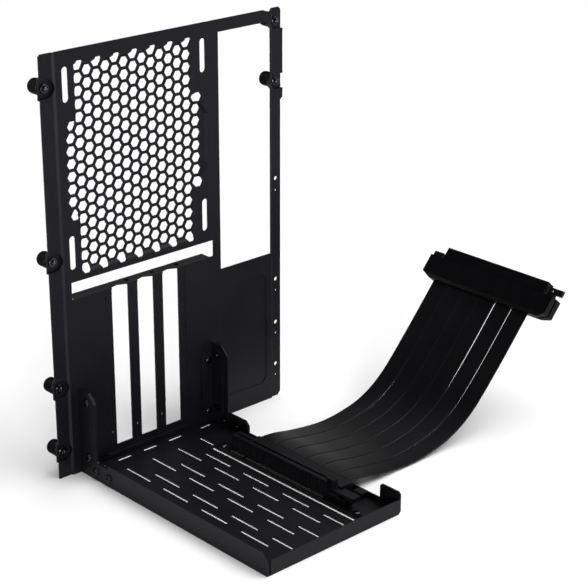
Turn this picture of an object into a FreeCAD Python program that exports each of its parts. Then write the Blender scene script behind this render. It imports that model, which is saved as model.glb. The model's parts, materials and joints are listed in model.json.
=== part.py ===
import FreeCAD, Part
import Sketcher
import math
import os

# Vertical graphics card mount: a rear panel, a slotted tray, two brackets and a riser with its ribbon.
# Lengths are millimetres. Working frame: X from the panel's left edge, Y from the panel's inner face
# (the tray lies towards -Y), Z from the standing surface. The origin is then moved to the middle of the base.

doc = FreeCAD.newDocument("vertical_gpu_mount")
sheet = doc.addObject("Spreadsheet::Sheet", "Sizes")

SIZES = [
    # Sheet metal and fits
    ("gauge", 1.0, "steel sheet thickness"),
    ("seat_gap", 0.2, "clearance between tray and panel"),
    ("hole_gap", 0.1, "radial clearance of a screw in its hole"),
    # Rear panel outline
    ("panel_width", 191.0, "overall width at the wide part of the right strip"),
    ("panel_height", 274.0, "overall height"),
    ("strip_left", 8.9, "flat width of the left strip"),
    ("strip_right", 9.4, "flat width of the right strip"),
    ("step_run", 1.5, "width of the sloped step between strip and face"),
    ("step_depth", 1.2, "rearward step of the strips"),
    ("ear_step", 2.0, "how far the wide part stands out"),
    ("ear_low", 60.2, "lower end of the wide part, below the top edge"),
    ("ear_high", 14.5, "upper end of the wide part, below the top edge"),
    ("ear_slope", 1.2, "sloped run at the ends of the wide part"),
    ("corner_cut", 2.5, "cut corner at the lower right"),
    ("top_cut", 1.4, "cut corners of the top edge"),
    ("strip_drop", 0.3, "how much lower the left strip ends"),
    ("notch_left", 17.2, "left end of the notch in the top edge, from the right edge"),
    ("notch_width", 6.4, "width of that notch"),
    ("notch_depth", 2.2, "depth of that notch"),
    # Input and output window, fan slots and vent
    ("window_left", 56.0, "left edge of the input and output window, from the right edge"),
    ("window_low", 166.7, "lower edge of the window, below the top edge"),
    ("window_width", 44.45, "standard window width"),
    ("window_height", 158.75, "standard window height"),
    ("fan_left", 17.2, "left line of fan slots"),
    ("fan_low", 125.7, "lower line of fan slots, below the top edge"),
    ("fan_pitch", 105.0, "hole spacing of a 120 mm fan"),
    ("fan_slot_width", 4.5, "fan slot width"),
    ("fan_slot_length", 21.8, "fan slot length end to end"),
    ("vent_x", 69.1, "centre column of the vent"),
    ("vent_z", 74.5, "centre row of the vent, below the top edge"),
    ("cell_pitch", 7.96, "vertical pitch of the cells"),
    ("cell_flat", 6.2, "cell size across flats"),
    ("vent_edge_left", 23.6, "left edge of the vent's recess"),
    ("vent_edge_right", 115.5, "right edge of the recess"),
    ("vent_edge_low", 140.0, "lower edge of the recess, below the top edge"),
    ("vent_edge_high", 9.0, "upper edge of the recess, below the top edge"),
    ("vent_bulge", 10.0, "sideways bulge of the recess"),
    ("bulge_flat", 16.5, "half height of the bulge's upright edge"),
    ("bulge_half", 31.0, "half height of the bulge"),
    ("vent_deep", 2.0, "rearward depth of the recess"),
    ("vent_slope", 1.6, "sloped border of the recess"),
    # Card slots and the flange above them
    ("card_left", 45.5, "left edge of the first card slot"),
    ("card_pitch", 20.32, "standard card pitch"),
    ("card_width", 12.9, "card slot width"),
    ("card_low", 9.3, "lower end of the card slots"),
    ("open_left", 15.1, "left end of the horizontal opening"),
    ("open_right", 62.1, "right end of the horizontal opening, from the right edge"),
    ("open_low", 155.8, "lower edge of the horizontal opening, below the top edge"),
    ("open_high", 144.6, "upper edge of the horizontal opening, below the top edge"),
    ("flange_left", 18.0, "left end of the flange"),
    ("flange_right", 65.0, "right end of the flange, from the right edge"),
    ("flange_depth", 9.0, "rearward depth of the flange"),
    ("flange_notch", 2.8, "depth of the notches in the flange"),
    ("flange_notch_flat", 6.7, "deepest point of a notch from the slot's left edge"),
    ("flange_notch_side", 1.2, "depth of a notch at its left side"),
    ("card_hole_x", 15.1, "bracket screw hole from the slot's left edge"),
    ("card_hole_y", 4.8, "bracket screw hole behind the panel face"),
    ("card_hole_r", 1.75, "bracket screw hole radius"),
    ("field_left", 38.5, "left edge of the pressed slot field"),
    ("field_right", 104.6, "right edge of the pressed slot field"),
    ("field_low", 4.5, "lower edge of the pressed slot field"),
    ("field_gap", 0.2, "slot field to flange"),
    ("field_press", 0.4, "rearward press of the slot field and of the pad under the window"),
    ("dimple_back", 3.7, "dimple to the left of each slot"),
    ("dimple_high", 162.0, "height of the upper dimples, below the top edge"),
    ("dimple_low", 19.0, "height of the lower dimples"),
    ("dimple_r", 1.1, "dimple radius"),
    ("pad_left", 57.0, "left edge of the pressed pad under the window, from the right edge"),
    ("pad_right", 15.8, "right edge of that pad, from the right edge"),
    ("pad_low", 14.0, "lower edge of that pad"),
    ("pad_high", 179.0, "upper edge of that pad, below the top edge"),
    ("pad_corner", 4.0, "cut corners of that pad"),
    ("tie_x", 6.0, "line of holes in the right strip, from the right edge"),
    ("tie_r", 1.5, "radius of the upper holes"),
    ("tie_small_r", 0.8, "radius of the lower holes"),
    ("tie_drop", 8.2, "spacing inside a pair of holes"),
    # Screw pockets and thumbscrews
    ("pocket_r", 5.9, "pocket radius on the left"),
    ("pocket_small_r", 5.0, "pocket radius on the right"),
    ("pocket_depth", 2.0, "rearward depth of a pocket"),
    ("thumb_left_x", 4.0, "left thumbscrews"),
    ("thumb_right_x", 5.2, "right thumbscrews, from the right edge"),
    ("thumb_shank_r", 1.7, "shank radius"),
    ("thumb_run", 0.05, "running clearance of a shank"),
    ("knob_r", 4.8, "knob radius"),
    ("knob_length", 10.5, "knob length"),
    ("knob_rim", 1.3, "sloped rim of the knob"),
    ("knob_gap", 0.5, "knob to pocket"),
    ("collar_r", 3.0, "retaining collar radius"),
    ("collar_length", 0.9, "retaining collar length"),
    ("tip_length", 1.3, "shank in front of the collar"),
    # Tray
    ("tray_left", 16.1, "left side of the tray"),
    ("tray_width", 109.6, "tray width"),
    ("tray_depth", 176.2, "tray depth from the panel"),
    ("lip_left", 14.5, "height of the left lip"),
    ("lip_front", 10.0, "height of the front lip"),
    ("lip_right", 4.8, "height of the right lip"),
    ("lip_start", 12.5, "start of the right lip behind the panel"),
    ("lip_slope", 5.5, "sloped front end of the left lip"),
    ("lip_seam", 1.6, "open seam at the front left corner"),
    ("lip_relief", 27.2, "end of the low part of the left wall"),
    ("lip_dent", 1.0, "slope from that part up to the lip"),
    ("front_cut", 1.8, "cut lower corner at the front right"),
    ("tab_depth", 17.0, "length of the upright corner tab"),
    ("tab_height", 14.8, "height of that tab"),
    ("tab_cut", 1.5, "cut corners of that tab"),
    ("hold_start", 140.9, "start of the hold-down tab"),
    ("hold_length", 7.6, "length of the hold-down tab"),
    ("hold_reach", 6.0, "reach of the hold-down tab"),
    ("rise_end", 36.0, "end of the taller part of the right lip"),
    ("rise_height", 11.0, "height of that part"),
    ("vent_slot_width", 2.2, "tray slot width"),
    ("vent_slot_length", 24.9, "tray slot length"),
    ("row_pitch", 36.78, "tray slot pitch along the tray"),
    ("column_pitch", 21.0, "tray slot pitch across the tray"),
    ("first_x", 39.45, "first column of slots"),
    ("first_y", 16.5, "start of the first column behind the panel"),
    ("second_x", 47.85, "second column of slots"),
    ("second_y", 35.0, "start of the second column"),
    ("long_x", 98.6, "long slot beside the riser"),
    ("long_start", 31.9, "start of the long slot"),
    ("long_end", 165.4, "end of the long slot"),
    ("long_width", 2.5, "width of the long slot"),
    ("short_x", 101.7, "short slot at the panel end"),
    ("short_start", 15.2, "start of the short slot"),
    ("short_length", 14.5, "length of the short slot"),
    ("tongue_x", 41.9, "first bracket tongue slot"),
    ("tongue_y", 4.2, "line of tongue slots"),
    ("tongue_length", 11.6, "tongue slot length"),
    ("tongue_width", 2.6, "tongue slot width"),
    ("side_slit_x", 28.5, "short slot by the left bracket"),
    ("side_slit_length", 3.6, "its length"),
    ("far_slit_x", 111.5, "slot by the right bracket"),
    ("far_slit_length", 9.5, "its length"),
    # Brackets and their screws
    ("plate_height", 58.0, "height of a side plate"),
    ("plate_depth", 16.2, "depth of its upright leg"),
    ("plate_cut", 6.0, "cut corner of its upright leg"),
    ("leg_end", 37.0, "end of its lower leg"),
    ("leg_height", 12.0, "height of its lower leg and of the low part of the left wall"),
    ("leg_cut", 3.0, "cut corner of its lower leg"),
    ("angle_width", 9.4, "panel flange width of a corner angle"),
    ("angle_depth", 12.0, "side flange depth of a corner angle"),
    ("angle_height", 55.0, "top of a corner angle"),
    ("angle_cut", 3.0, "cut corner of a corner angle"),
    ("side_screw_y", 8.6, "side plate screws behind the panel"),
    ("side_screw_high", 51.5, "upper side plate screw"),
    ("side_screw_low", 13.6, "lower side plate screw"),
    ("lip_screw_z", 6.0, "height of the lip screws"),
    ("lip_screw_near", 15.6, "first lip screw"),
    ("lip_screw_far", 28.5, "second lip screw"),
    ("panel_screw_in", 3.8, "panel screw from the tray's side"),
    ("panel_screw_high", 46.3, "upper panel screw"),
    ("panel_screw_low", 9.3, "lower panel screw"),
    ("screw_r", 1.5, "screw shank radius"),
    ("head_r", 2.6, "screw head radius"),
    ("head_height", 1.5, "screw head height"),
    ("drive_width", 0.8, "cross recess width"),
    ("drive_length", 3.0, "cross recess length"),
    ("drive_depth", 0.8, "cross recess depth"),
    ("screw_length", 3.6, "panel screw shank length"),
    ("side_screw_length", 5.0, "side plate screw shank length"),
    ("board_screw_length", 1.8, "riser screw shank length"),
    # Riser
    ("board_gauge", 1.0, "riser board thickness"),
    ("board_left", 100.5, "left edge of the riser board"),
    ("board_near", 33.0, "end of the board by the panel"),
    ("board_far", 163.2, "outer end of the board"),
    ("board_neck", 112.0, "right edge of the board's inner end"),
    ("board_tongue", 106.8, "right edge of the board's outer tongue"),
    ("tongue_start", 148.8, "start of that tongue"),
    ("tongue_cut", 1.6, "cut corners of that tongue"),
    ("board_screw_x", 103.9, "riser screws"),
    ("board_screw_near", 36.8, "riser screw by the panel"),
    ("board_screw_far", 160.0, "outer riser screw"),
    ("socket_left", 104.0, "left side of the card socket"),
    ("socket_width", 7.5, "socket width"),
    ("socket_start", 44.7, "start of the socket"),
    ("socket_length", 89.0, "standard socket length"),
    ("socket_height", 11.25, "socket height over the board"),
    ("mouth_width", 1.8, "card gap"),
    ("mouth_depth", 8.0, "card gap depth"),
    ("mouth_margin", 1.4, "socket end wall"),
    ("mouth_short", 13.2, "short part of the card gap"),
    ("mouth_key", 1.7, "key in the card gap"),
    ("rib_rise", 0.4, "socket rib height"),
    ("rib_width", 3.6, "socket rib width"),
    ("rib_pitch", 6.2, "socket rib pitch"),
    ("rib_inset", 1.0, "rib ends inside the socket height"),
    ("tail_pitch", 2.0, "contact tail pitch"),
    ("tail_width", 0.7, "contact tail width"),
    ("tail_length", 1.9, "contact tail length"),
    ("tail_height", 0.4, "contact tail height"),
    ("ear_wall", 1.2, "latch ear thickness"),
    ("ear_length", 15.5, "latch ear length"),
    ("ear_height", 4.6, "latch ear height over the board"),
    ("latch_gap", 0.3, "latch side clearance"),
    ("pivot_y", 146.0, "latch pivot behind the panel"),
    ("pivot_z", 4.5, "latch pivot height"),
    ("pivot_r", 1.2, "latch pivot radius"),
    ("pivot_run", 0.05, "running clearance of the pivot"),
    ("latch_inner", 11.6, "latch body from the pivot towards the socket"),
    ("latch_reach", 10.0, "finger paddle from the pivot outwards"),
    ("latch_top", 8.6, "latch top over the pivot"),
    ("latch_foot", 1.9, "latch foot under the pivot"),
    ("finger_low", 2.2, "underside of the paddle's front over the pivot"),
    ("finger_high", 5.0, "top of the paddle over the pivot"),
    ("paddle_back", 3.5, "paddle from the pivot towards the socket"),
    ("paddle_low", 3.7, "underside of the paddle over the ears"),
    ("paddle_inset", 0.4, "paddle inside the sides of the socket"),
    ("latch_dip", 3.4, "latch between paddle and nose over the pivot"),
    ("nose_length", 3.0, "latch nose over the socket's end"),
    ("nose_height", 1.2, "latch nose height"),
    ("nose_gap", 0.3, "latch nose over the socket"),
    ("cover_gap", 0.4, "ribbon cover to socket"),
    ("cover_right", 122.6, "right edge of the ribbon cover"),
    ("cover_start", 51.0, "start of the ribbon cover"),
    ("cover_end", 138.0, "end of the ribbon cover"),
    ("cover_height", 8.3, "top of the ribbon cover"),
    # Ribbon path in the X and Z plane, and the plug at its end
    ("ribbon_gauge", 1.0, "ribbon thickness"),
    ("ribbon_start", 52.1, "far edge of the ribbon"),
    ("ribbon_width", 84.6, "ribbon width"),
    ("ribbon_gap", 0.7, "gap between strips"),
    ("ribbon_z", 7.6, "ribbon height at the cover"),
    ("turn_one_x", 132.5, "first turn"),
    ("turn_two_x", 150.9, "second turn"),
    ("turn_two_z", 3.25, "height of the second turn"),
    ("turn_three_x", 185.1, "third turn"),
    ("turn_three_z", -0.29, "height of the third turn"),
    ("turn_four_x", 225.0, "fourth turn"),
    ("turn_four_z", 8.5, "height of the fourth turn"),
    ("turn_five_x", 257.3, "fifth turn"),
    ("turn_five_z", 41.5, "height of the fifth turn"),
    ("last_run", 47.5, "length of the last run"),
    ("plug_angle", 49.0, "slope of the plug in degrees"),
    ("plug_gauge", 1.6, "plug board thickness"),
    ("plug_start", 41.0, "near end of the plug board"),
    ("plug_end", 150.0, "far end of the plug board"),
    ("plug_body", 12.7, "plug board length from the ribbon's end"),
    ("plug_tab_width", 8.4, "width of the side tab"),
    ("plug_tab_rise", 4.3, "height of the side tab"),
    ("finger_start", 53.8, "start of the edge contacts"),
    ("finger_end", 141.2, "end of the edge contacts"),
    ("finger_rise", 7.7, "length of the edge contacts"),
    ("hook_start", 143.4, "start of the hook's arm"),
    ("hook_end", 155.0, "end of the hook"),
    ("hook_rise", 6.6, "top of the hook"),
    ("hook_under", 2.1, "underside of the hook"),
    ("hook_arm", 150.0, "outer side of the hook's arm"),
    ("hook_hole_x", 4.3, "small hole in the hook, from the board body"),
    ("hook_hole_y", 146.6, "small hole in the hook, across"),
    ("hook_hole_r", 0.8, "radius of that hole"),
    ("shell_start", 43.0, "start of the plug shells"),
    ("shell_end", 152.2, "end of the plug shells"),
    ("shell_back", 3.4, "how far the plug shells reach over the ribbon"),
    ("shell_length", 15.9, "length of the plug shells"),
    ("shell_depth", 4.8, "thickness of a plug shell"),
    ("shell_cut", 2.2, "cut edge of a plug shell"),
    ("shell_corner", 6.0, "cut corner of a plug shell"),
    ("cap_wall", 2.7, "cap wall over the contacts"),
    ("cap_side", 0.9, "cap wall at the ends"),
    ("cap_gap", 0.1, "cap clearance"),
    ("cap_top", 0.9, "cap wall at the top"),
]

# Heights of the thumbscrews and of the hole pairs: the upper ones go with the top edge
THUMB_LEFT_Z = [("thumb_z_one", 21.1), ("thumb_z_two", 129.1), ("thumb_z_three", 60.9),
                ("thumb_z_four", 17.8)]
THUMB_RIGHT_Z = [("thumb_z_five", 9.1), ("thumb_z_six", 48.9)]
TIE_Z = [("tie_z_one", 115.0), ("tie_z_two", 87.2), ("tie_z_three", 55.5), ("tie_z_four", 24.2)]
UPPER = ("thumb_z_one", "thumb_z_two", "thumb_z_five", "thumb_z_six", "tie_z_one")
for name, value in THUMB_LEFT_Z + THUMB_RIGHT_Z:
    SIZES.append((name, value, "thumbscrew" + (", below the top edge" if name in UPPER else ", height")))
for name, value in TIE_Z:
    SIZES.append((name, value, "pair of holes" + (", below the top edge" if name in UPPER else ", height")))

for row, (name, value, note) in enumerate(SIZES, start=1):
    sheet.set("A%d" % row, name)
    sheet.set("B%d" % row, str(value))
    sheet.set("C%d" % row, note)
    sheet.setAlias("B%d" % row, name)
doc.recompute()


class Size:
    """A length that keeps both its number and the sheet formula it comes from."""

    def __init__(self, number, text):
        self.number = number
        self.text = text

    def join(self, other, sign, number):
        return Size(number, "(%s %s %s)" % (self.text, sign, other.text))

    def __add__(self, other):
        other = size(other)
        return self.join(other, "+", self.number + other.number)

    def __sub__(self, other):
        other = size(other)
        return self.join(other, "-", self.number - other.number)

    def __mul__(self, other):
        other = size(other)
        return self.join(other, "*", self.number * other.number)

    def __truediv__(self, other):
        other = size(other)
        return self.join(other, "/", self.number / other.number)

    def __radd__(self, other):
        return size(other) + self

    def __rsub__(self, other):
        return size(other) - self

    def __rmul__(self, other):
        return size(other) * self

    def __neg__(self):
        return size(0) - self


def size(value):
    """A sheet value by its name, or a plain number, as a Size."""
    if isinstance(value, Size):
        return value
    if isinstance(value, str):
        return Size(float(sheet.get(value)), "Sizes." + value)
    return Size(float(value), repr(float(value)))


S = {name: size(name) for name, value, note in SIZES}
gauge = S["gauge"]

# The base's middle: half way from the left knobs to the panel's right edge,
# and half way from the tray's front to the back of the knobs
knob_back = S["step_depth"] + S["pocket_depth"] + gauge + S["knob_gap"] + S["knob_length"]
knob_edge = S["thumb_left_x"] - S["knob_r"]
MID_X = (S["panel_width"] + knob_edge) / 2
MID_Y = (knob_back - S["tray_depth"]) / 2
tray_right = S["tray_left"] + S["tray_width"]
board_top = gauge + S["board_gauge"]
hole_r = S["screw_r"] + S["hole_gap"]
left_inside = S["tray_left"] + 2 * gauge
PANEL_SCREW_X = (left_inside + S["panel_screw_in"], tray_right - S["panel_screw_in"])


def below_top(name):
    """A height measured down from the panel's top edge."""
    return S["panel_height"] - S[name]


def from_right(name):
    """A place measured leftwards from the panel's right edge."""
    return S["panel_width"] - S[name]


def height_of(name):
    """The height of a thumbscrew or of a pair of holes."""
    return below_top(name) if name in UPPER else S[name]


def bind(thing, prop, value):
    """Drives a property from the sheet."""
    thing.setExpression(prop, size(value).text)


def move(thing, x, y, z):
    """Places a finished piece: working frame to base frame."""
    bind(thing, "Placement.Base.x", size(x) - MID_X)
    bind(thing, "Placement.Base.y", size(y) - MID_Y)
    bind(thing, "Placement.Base.z", z)


class Piece:
    """One sub-part in the making: solids joined, less the cuts."""

    def __init__(self, label):
        self.label = label
        self.solids = []
        self.cuts = []

    def take(self, thing, cut):
        if cut:
            self.cuts.append(thing)
        else:
            self.solids.append(thing)


def join(name, things):
    if len(things) == 1:
        return things[0]
    thing = doc.addObject("Part::MultiFuse", name)
    thing.Shapes = things
    return thing


def group(label, things):
    """Several separate solids as one object."""
    thing = doc.addObject("Part::Compound", label)
    thing.Links = things
    return thing


def finish(piece, x=0, y=0, z=0, turn=None):
    """Joins and cuts a piece and puts it in its place."""
    whole = join(piece.label + "_blank", piece.solids)
    if piece.cuts:
        cut = doc.addObject("Part::Cut", piece.label + "_cut")
        cut.Base = whole
        cut.Tool = group(piece.label + "_tools", piece.cuts)
        whole = cut
    if whole in piece.solids:
        whole = group(piece.label + "_one", [whole])
    whole.Label = piece.label
    if turn:
        whole.Placement = FreeCAD.Placement(FreeCAD.Vector(), turn)
    move(whole, x, y, z)
    return whole


# Sketch planes: how the sketch lies, the axis it faces, and the letter of that axis
PLANES = {"XY": (FreeCAD.Rotation(), FreeCAD.Vector(0, 0, 1), "z"),
          "XZ": (FreeCAD.Rotation(FreeCAD.Vector(1, 0, 0), 90), FreeCAD.Vector(0, 1, 0), "y"),
          "YZ": (FreeCAD.Rotation(FreeCAD.Vector(1, 1, 1), 120), FreeCAD.Vector(1, 0, 0), "x")}

# Turns that bring a cylinder's own Z axis to each direction
TURN = {"X": ((0, 1, 0), 90), "-X": ((0, 1, 0), -90), "Y": ((1, 0, 0), -90), "-Y": ((1, 0, 0), 90),
        "Z": ((0, 0, 1), 0), "-Z": ((1, 0, 0), 180)}


def turned(axis):
    vector, angle = TURN[axis]
    return FreeCAD.Placement(FreeCAD.Vector(), FreeCAD.Rotation(FreeCAD.Vector(*vector), angle))


def place(thing, base):
    for letter, value in zip("xyz", base):
        bind(thing, "Placement.Base." + letter, value)


def outline(name, plane, points, start):
    """A closed polygon sketch, every corner driven from the sheet."""
    sketch = doc.addObject("Sketcher::SketchObject", name)
    turn, way, letter = PLANES[plane]
    sketch.Placement = FreeCAD.Placement(FreeCAD.Vector(), turn)
    bind(sketch, "Placement.Base." + letter, start)
    corners = [(size(a), size(b)) for a, b in points]
    count = len(corners)
    spots = [FreeCAD.Vector(a.number, b.number, 0) for a, b in corners]
    for k in range(count):
        sketch.addGeometry(Part.LineSegment(spots[k], spots[(k + 1) % count]), False)
    for k in range(count):
        sketch.addConstraint(Sketcher.Constraint("Coincident", k, 2, (k + 1) % count, 1))
    for k, (a, b) in enumerate(corners):
        for kind, value in (("DistanceX", a), ("DistanceY", b)):
            index = sketch.addConstraint(Sketcher.Constraint(kind, -1, 1, k, 1, value.number))
            sketch.setExpression("Constraints[%d]" % index, value.text)
    return sketch


def grow(piece, name, plane, points, start, depth, cut=False):
    """A plate with the given outline, from start to start + depth along the plane's axis."""
    thing = doc.addObject("Part::Extrusion", name)
    thing.Base = outline(name + "_outline", plane, points, start)
    thing.DirMode = "Custom"
    thing.Dir = PLANES[plane][1]
    thing.Solid = True
    bind(thing, "LengthFwd", depth)
    piece.take(thing, cut)


def rectangle(x0, y0, x1, y1):
    return [(x0, y0), (x1, y0), (x1, y1), (x0, y1)]


def block(piece, name, low, sides, cut=False):
    """A box by its low corner and its sides."""
    thing = doc.addObject("Part::Box", name)
    for prop, value in zip(("Length", "Width", "Height"), sides):
        bind(thing, prop, value)
    place(thing, low)
    piece.take(thing, cut)


def rod(piece, name, base, axis, radius, length, cut=False):
    """A cylinder from its base point along an axis."""
    thing = doc.addObject("Part::Cylinder", name)
    bind(thing, "Radius", radius)
    bind(thing, "Height", length)
    thing.Placement = turned(axis)
    place(thing, base)
    piece.take(thing, cut)


# How far a cutting shape runs past the sheet it cuts
PAST = size(1)


def through(piece, name, points):
    """A cut right through the panel's sheet and its pressed fields."""
    grow(piece, name, "XZ", points, -PAST, gauge + S["step_depth"] + 2 * PAST, cut=True)


def press(piece, name, points, dimples=()):
    """A field pressed a little rearwards: taken off the face, but for its dimples, and added on the back."""
    field = Piece(name)
    grow(field, name + "_face", "XZ", points, -PAST, S["field_press"] + PAST)
    tool = field.solids[0]
    if dimples:
        tool = doc.addObject("Part::Cut", name + "_around")
        tool.Base = field.solids[0]
        tool.Tool = group(name + "_dimples", dimples)
    piece.cuts.append(tool)
    grow(piece, name + "_back", "XZ", points, gauge, S["field_press"])


def recess(piece, name, points):
    """A field sunk rearwards with a sloped border, off the face and onto the back."""
    run = S["vent_slope"]
    deep = S["vent_deep"]
    lean = Size(-math.degrees(math.atan2(run.number, deep.number)), "-atan(%s / %s)" % (run.text, deep.text))
    grow(piece, name + "_face", "XZ", points, 0, deep, cut=True)
    grow(piece, name + "_back", "XZ", points, gauge, deep)
    for thing in (piece.cuts[-1], piece.solids[-1]):
        bind(thing, "TaperAngle", lean)


def slot_dimples():
    """Small round spots beside the card slots that stay level with the panel's face."""
    dimples = Piece("dimples")
    for z, count in ((below_top("dimple_high"), 4), (S["dimple_low"], 3)):
        for k in range(count):
            x = S["card_left"] - S["dimple_back"] + S["card_pitch"] * k
            rod(dimples, "dimple", (x, -2 * PAST, z), "Y", S["dimple_r"], 3 * PAST)
    return dimples.solids


def panel_sheet(piece):
    """The folded sheet: a flat face between two strips stepped rearwards."""
    left = S["strip_left"]
    right = S["panel_width"] - S["strip_right"]
    run = S["step_run"]
    deep = S["step_depth"]
    front = [(0, deep), (left, deep), (left + run, 0), (right - run, 0), (right, deep)]
    front.append((S["panel_width"], deep))
    back = [(x, size(y) + gauge) for x, y in reversed(front)]
    grow(piece, "folded_sheet", "XY", front + back, 0, S["panel_height"])


def panel_outline(piece):
    """Cuts that give the sheet its outline: strip ends, right edge and the notch in the top edge."""
    high = S["panel_height"]
    wide = S["panel_width"]
    narrow = wide - S["ear_step"]
    cut = S["corner_cut"]
    slope = S["ear_slope"]
    past = wide + PAST
    lower = below_top("ear_low")
    through(piece, "edge_below", [(narrow, cut), (narrow - cut, 0), (narrow - cut, -PAST), (past, -PAST),
                                  (past, lower), (wide, lower), (narrow, lower - slope)])
    upper = below_top("ear_high")
    cut = S["top_cut"]
    through(piece, "edge_above", [(narrow, upper + slope), (wide, upper), (past, upper), (past, high + PAST),
                                  (narrow - cut, high + PAST), (narrow - cut, high), (narrow, high - cut)])
    edge = S["strip_left"] + S["step_run"]
    top = high - S["strip_drop"]
    through(piece, "strip_top", [(-PAST, top - cut), (0, top - cut), (cut, top), (edge, top),
                                 (edge, high + PAST), (-PAST, high + PAST)])
    near = from_right("notch_left")
    far = near + S["notch_width"]
    low = high - S["notch_depth"]
    quarter = S["notch_width"] / 4
    through(piece, "top_notch", [(near, high), (near + quarter, low), (far - quarter, low), (far, high),
                                 (far, high + PAST), (near, high + PAST)])


def panel_fields(piece):
    """The vent's recess with its two bulges, and the pressed fields of the card slots and of the pad."""
    low = below_top("vent_edge_low")
    high = below_top("vent_edge_high")
    left = S["vent_edge_left"]
    right = S["vent_edge_right"]
    z = below_top("vent_z")
    wide = S["bulge_half"]
    flat = S["bulge_flat"]
    out = S["vent_bulge"]
    recess(piece, "vent_field", [(left, low), (right, low), (right, z - wide), (right + out, z - flat),
                                 (right + out, z + flat), (right, z + wide), (right, high), (left, high),
                                 (left, z + wide), (left - out, z + flat), (left - out, z - flat),
                                 (left, z - wide)])
    top = below_top("open_low") - gauge - S["field_gap"]
    field = rectangle(S["field_left"], S["field_low"], S["field_right"], top)
    press(piece, "slot_field", field, slot_dimples())
    a = from_right("pad_left")
    b = from_right("pad_right")
    c = S["pad_low"]
    d = below_top("pad_high")
    k = S["pad_corner"]
    press(piece, "window_pad", [(a + k, c), (b - k, c), (b, c + k), (b, d - k), (b - k, d), (a + k, d),
                                (a, d - k), (a, c + k)])


def panel_openings(piece):
    """Window, card slots, the horizontal opening and the four fan slots."""
    x = from_right("window_left")
    z = below_top("window_low")
    through(piece, "window", rectangle(x, z, x + S["window_width"], z + S["window_height"]))
    low = below_top("open_low")
    high = below_top("open_high")
    through(piece, "card_opening", rectangle(S["open_left"], low, from_right("open_right"), high))
    top = low - gauge - S["field_gap"] / 4
    for k in range(3):
        x = S["card_left"] + S["card_pitch"] * k
        through(piece, "card_slot", rectangle(x, S["card_low"], x + S["card_width"], top))
    radius = S["fan_slot_width"] / 2
    reach = S["fan_slot_length"] / 2 - radius
    deep = gauge + 2 * PAST
    for column in range(2):
        for row in range(2):
            x = S["fan_left"] + S["fan_pitch"] * column
            z = below_top("fan_low") + S["fan_pitch"] * row
            block(piece, "fan_slot", (x - radius, -PAST, z - reach), (2 * radius, deep, 2 * reach), cut=True)
            rod(piece, "fan_slot_low", (x, -PAST, z - reach), "Y", radius, deep, cut=True)
            rod(piece, "fan_slot_high", (x, -PAST, z + reach), "Y", radius, deep, cut=True)


def panel_flange(piece):
    """The card flange: the card slots run up through its bend, and each has a screw hole beside it."""
    under = below_top("open_low") - gauge
    block(piece, "card_flange", (S["flange_left"], gauge, under),
          (from_right("flange_right") - S["flange_left"], S["flange_depth"] - gauge, gauge))
    back = gauge + S["flange_notch"]
    low = under - S["field_gap"] / 2
    deep = gauge + S["field_gap"]
    for k in range(3):
        x = S["card_left"] + S["card_pitch"] * k
        end = x + S["card_width"]
        notch = [(x, -PAST), (end, -PAST), (end, gauge), (x + S["flange_notch_flat"], back),
                 (x, gauge + S["flange_notch_side"])]
        grow(piece, "flange_notch", "XY", notch, low, deep, cut=True)
        spot = (x + S["card_hole_x"], S["card_hole_y"], low)
        rod(piece, "card_hole", spot, "Z", S["card_hole_r"], deep, cut=True)


def panel_pockets(piece):
    """Half-round screw pockets pressed rearwards in both strips, open at the strip's outer edge."""
    floor = S["step_depth"] + S["pocket_depth"]
    rear = floor + gauge
    wide = S["panel_width"]
    x = S["thumb_left_x"]
    past = S["pocket_r"] + 2 * gauge
    left = [(name, x, S["pocket_r"], size(0), x, x - past) for name, value in THUMB_LEFT_Z]
    x = from_right("thumb_right_x")
    right = [(name, x, S["pocket_small_r"], x, wide - x, x) for name, value in THUMB_RIGHT_Z]
    bore = S["thumb_shank_r"] + S["thumb_run"]
    for name, x, radius, start, length, mouth_start in left + right:
        z = height_of(name)
        outer = radius + gauge
        mouth = floor + PAST
        block(piece, name + "_wall", (start, gauge, z - outer), (length, rear - gauge, 2 * outer))
        rod(piece, name + "_round", (x, gauge, z), "Y", outer, rear - gauge)
        block(piece, name + "_mouth", (mouth_start, -PAST, z - radius), (past, mouth, 2 * radius), cut=True)
        rod(piece, name + "_hollow", (x, -PAST, z), "Y", radius, mouth, cut=True)
        rod(piece, name + "_bore", (x, -PAST, z), "Y", bore, rear + 2 * PAST, cut=True)
    high = S["panel_height"]
    block(piece, "left_edge", (-past, 0, 0), (past, rear + PAST, high), cut=True)
    block(piece, "right_edge", (wide, floor - gauge / 2, 0), (past, rear, high), cut=True)


def panel_holes(piece):
    """Holes of the right strip and of the bracket screws."""
    deep = gauge + S["step_depth"] + 2 * PAST
    for name, value in TIE_Z:
        x = from_right("tie_x")
        rod(piece, name + "_hole", (x, -PAST, height_of(name)), "Y", S["tie_r"], deep, cut=True)
        low = height_of(name) - S["tie_drop"]
        rod(piece, name + "_small", (x, -PAST, low), "Y", S["tie_small_r"], deep, cut=True)
    for x in PANEL_SCREW_X:
        for level in ("high", "low"):
            rod(piece, "bracket_hole", (x, -PAST, S["panel_screw_" + level]), "Y", hole_r, deep, cut=True)


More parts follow.
